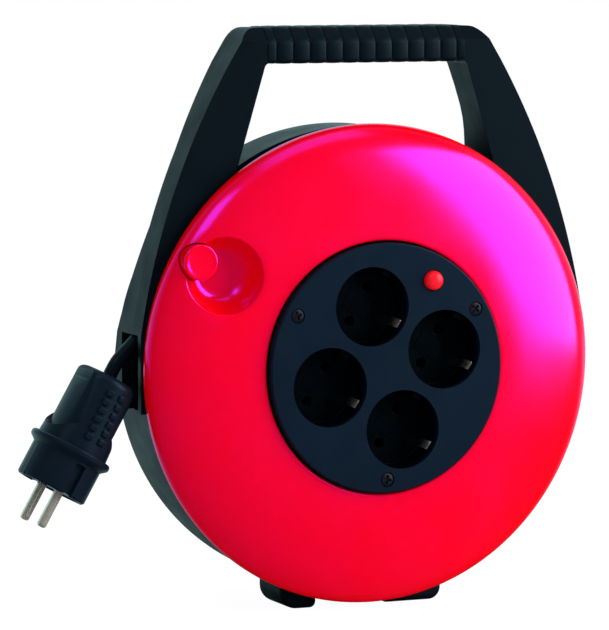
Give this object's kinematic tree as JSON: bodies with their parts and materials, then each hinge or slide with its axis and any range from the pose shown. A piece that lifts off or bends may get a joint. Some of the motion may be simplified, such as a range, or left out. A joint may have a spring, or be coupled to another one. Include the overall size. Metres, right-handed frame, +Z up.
{
  "type": "extension cord reel",
  "caption": "Enclosed round cable box with a carrying handle: a hand-wound drum turned by a knob, earthed sockets in its hub, a reset button, and a free plug at the outlet.",
  "frame": {"origin": "on the surface that the feet stand on, under the middle of the object's box without the cord and plug", "axes": "+Z up, -Y to the front where the sockets face, +X to the right as seen from the front; the drum turns about Y"},
  "size_m": [0.2977, 0.08, 0.289],
  "materials": {
    "red_plastic": "moulded, satin gloss",
    "button_plastic": "moulded, gloss",
    "black_plastic": "fine spark-eroded grain",
    "hub_plastic": "smooth satin",
    "grey_plastic": "moulded, plain",
    "grip_rubber": "matt, ribbed",
    "black_rubber": "matt",
    "plug_rubber": "matt with a smooth sheen",
    "cord_rubber": "matt sheath",
    "zinc_steel": "zinc plated",
    "blackened_steel": "blackened",
    "nickel": "nickel plated",
    "brass": "plain",
    "brown_insulation": "smooth",
    "blue_insulation": "smooth",
    "green_insulation": "smooth"
  },
  "bodies": {
    "casing": {"rear_housing": "black_plastic", "handle_front": "black_plastic", "handle_back": "black_plastic", "handle_grip": "grip_rubber", "handle_screws": "zinc_steel", "foot_left": "black_rubber", "foot_right": "black_rubber", "spindle": "zinc_steel", "axle_washer": "zinc_steel", "axle_screw": "zinc_steel", "cord": "cord_rubber", "plug_body": "plug_rubber", "plug_pins": "nickel", "plug_earth": "nickel"},
    "drum": {"front_disc": "red_plastic", "disc_screws": "zinc_steel", "drum_core": "black_plastic", "front_flange": "black_plastic", "rear_flange": "black_plastic", "flange_screws": "zinc_steel", "axle_bush": "brass", "wound_cable": "cord_rubber", "socket_plate": "hub_plastic", "plate_screws": "blackened_steel", "socket_cup_right": "hub_plastic", "socket_cup_top": "hub_plastic", "socket_cup_left": "hub_plastic", "socket_cup_bottom": "hub_plastic", "contact_carrier": "grey_plastic", "carrier_screws": "zinc_steel", "live_bus": "brass", "neutral_bus": "brass", "earth_clips": "nickel", "earth_ring": "brass", "thermal_cutout": "grey_plastic", "cord_clamp": "grey_plastic", "clamp_screws": "zinc_steel", "live_lead": "brown_insulation", "neutral_lead": "blue_insulation", "earth_lead": "green_insulation"},
    "knob": {"winding_knob": "red_plastic", "knob_pin": "zinc_steel", "knob_clip": "zinc_steel"},
    "button": {"reset_button": "button_plastic"}
  },
  "joints": [
    {"name": "drum_turn", "type": "hinge", "parent": "casing", "child": "drum", "pos_m": [0, 0.004, 0.122], "axis": [0, 1, 0], "continuous": true},
    {"name": "knob_spin", "type": "hinge", "parent": "drum", "child": "knob", "pos_m": [-0.09379, -0.018, 0.17615], "axis": [0, 1, 0], "continuous": true},
    {"name": "reset_press", "type": "slide", "parent": "drum", "child": "button", "axis": [0, 1, 0], "range_m": [0, 0.0025], "stiffness_N_per_m": 1200, "springref_m": -0.001}
  ]
}
